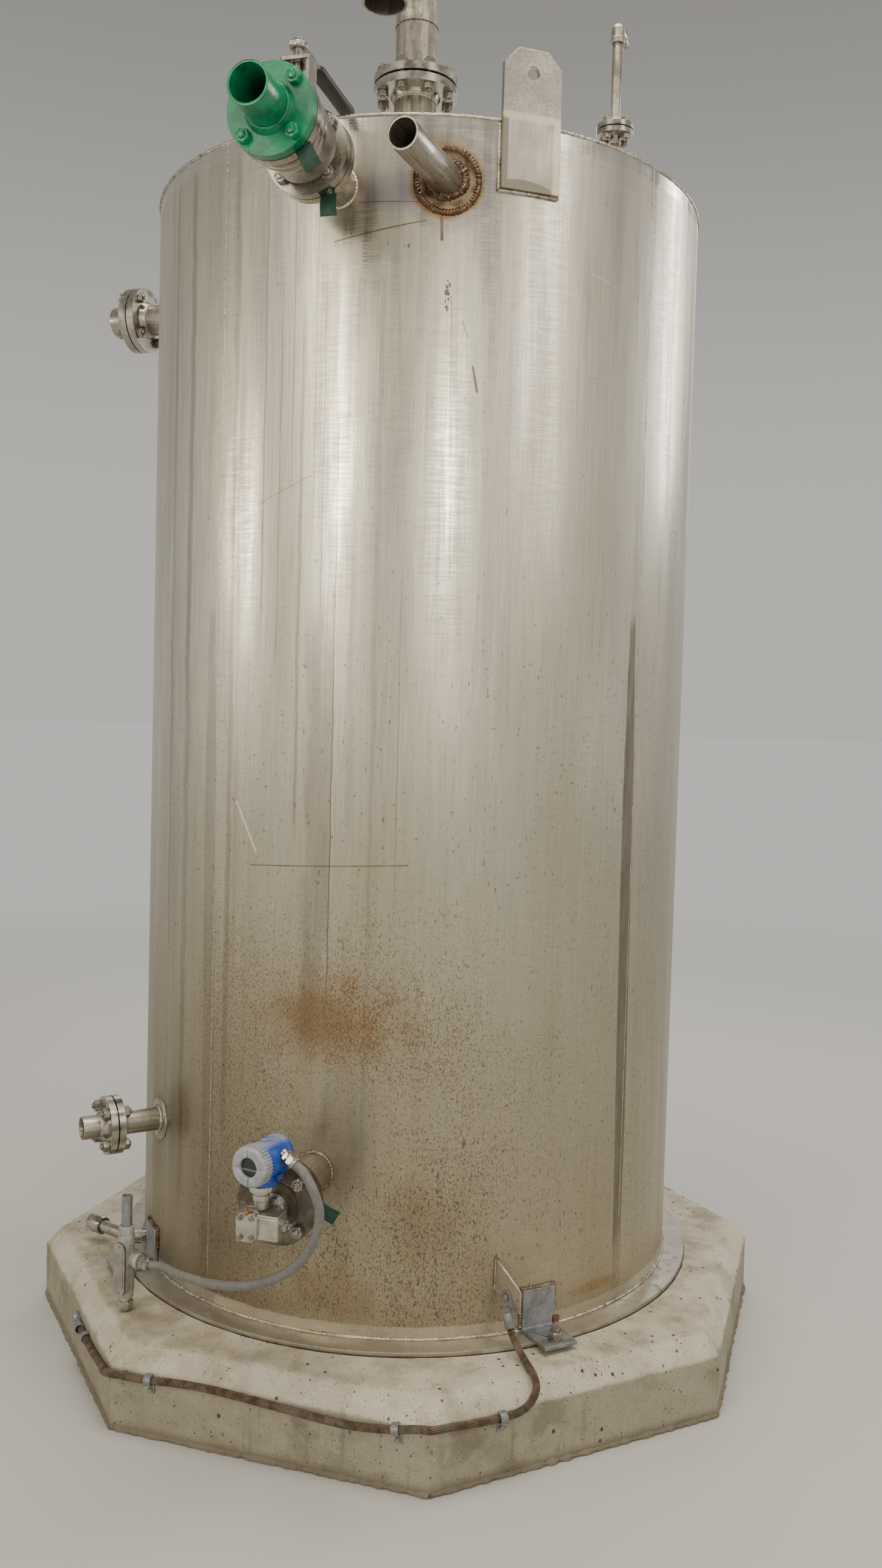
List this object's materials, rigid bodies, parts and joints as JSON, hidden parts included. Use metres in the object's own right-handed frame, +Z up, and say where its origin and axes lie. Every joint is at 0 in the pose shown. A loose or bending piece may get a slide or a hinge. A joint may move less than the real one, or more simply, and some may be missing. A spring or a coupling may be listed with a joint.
{
  "type": "vertical storage tank",
  "caption": "Vertical stainless steel storage tank with a shallow cone roof, flanged branches, lever ball valve, gooseneck vent and level transmitter, anchored on an octagonal concrete plinth.",
  "frame": {"origin": "On the tank's upright axis at floor level, in the middle of the plinth's underside.", "axes": "+Z is up. -Y points to the side with the lever valve and the level transmitter, which the picture shows. +X is to the right seen from that side."},
  "size_m": [2.0974, 2.2857, 3.8031],
  "materials": {
    "concrete": "cast, stained and pitted",
    "stainless": "brushed, stained",
    "valve_steel": "cast and machined, satin",
    "green_paint": "gloss",
    "galvanised": "hot-dip galvanised, dull",
    "blue_paint": "satin powder coat",
    "cover_grey": "satin",
    "black_rubber": "dull",
    "display_glass": "polished",
    "conduit_sheath": "dull",
    "cast_grey": "cast, painted grey",
    "copper": "stranded copper, oxidised brown"
  },
  "bodies": {
    "tank": {"plinth": "concrete", "base_plate": "stainless", "shell_1": "stainless", "shell_2": "stainless", "shell_3": "stainless", "shell_4": "stainless", "roof": "stainless", "lifting_lug_1": "stainless", "lifting_lug_2": "stainless", "inlet_pipe": "stainless", "valve_nozzle": "stainless", "valve_body": "valve_steel", "valve_end": "valve_steel", "valve_yoke": "valve_steel", "green_flange": "green_paint", "upper_nozzle": "stainless", "upper_flange": "stainless", "lower_nozzle": "stainless", "lower_flange": "stainless", "drain_pipe": "stainless", "drain_cap": "valve_steel", "level_nozzle": "stainless", "level_flange": "stainless", "level_sensor": "valve_steel", "level_neck": "valve_steel", "level_housing": "blue_paint", "level_cover": "cover_grey", "level_display": "display_glass", "level_gland": "valve_steel", "level_conduit": "conduit_sheath", "conduit_body": "cast_grey", "conduit_cover": "galvanised", "conduit_riser": "galvanised", "conduit_gland": "valve_steel", "vent_nozzle": "stainless", "vent_gooseneck": "stainless", "small_nozzle": "stainless", "small_riser": "stainless", "anchor_clip_1": "galvanised", "anchor_clip_2": "galvanised", "anchor_clip_3": "galvanised", "anchor_clip_4": "galvanised", "earth_tab": "stainless", "earth_lug": "galvanised", "earth_cable": "copper", "cable_clip_1": "galvanised", "cable_clip_2": "galvanised", "cable_clip_3": "galvanised", "cable_clip_4": "galvanised", "earth_end_lug": "galvanised"},
    "lever": {"valve_stem": "valve_steel", "valve_lever": "valve_steel", "lever_grip": "black_rubber"}
  },
  "joints": [
    {"name": "valve_turn", "type": "hinge", "parent": "tank", "child": "lever", "pos_m": [-0.29121, -0.97683, 3.146], "axis": [0, 0, 1], "range_deg": [-90, 0]}
  ]
}
